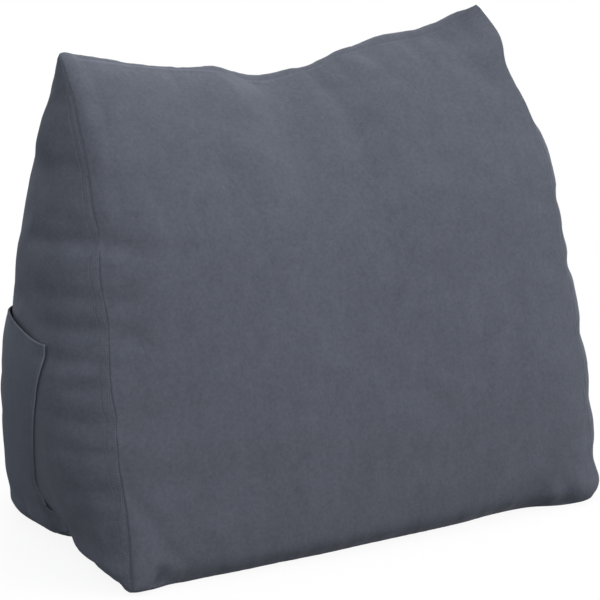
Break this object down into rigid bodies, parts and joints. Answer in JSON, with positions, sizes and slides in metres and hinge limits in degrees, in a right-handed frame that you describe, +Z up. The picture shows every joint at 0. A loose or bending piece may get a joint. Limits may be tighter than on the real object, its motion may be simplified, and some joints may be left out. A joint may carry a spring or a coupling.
{
  "type": "wedge back cushion with a side pocket",
  "caption": "Filled wedge back cushion in soft napped cloth, standing on its flat base, with a patch pocket on one side panel.",
  "frame": {"origin": "middle of the overall footprint, on the floor under the base panel", "axes": "+X along the width, from the side with the pocket to the other side; -Y is the way the sloping front panel faces; +Z up"},
  "size_m": [0.7002, 0.3596, 0.556],
  "materials": {
    "cover": "blue-grey microsuede with a short soft nap",
    "thread": "matte sewing thread in the cover's colour"
  },
  "bodies": {
    "root": {"cushion": "cover", "pocket": "cover"}
  },
  "joints": []
}
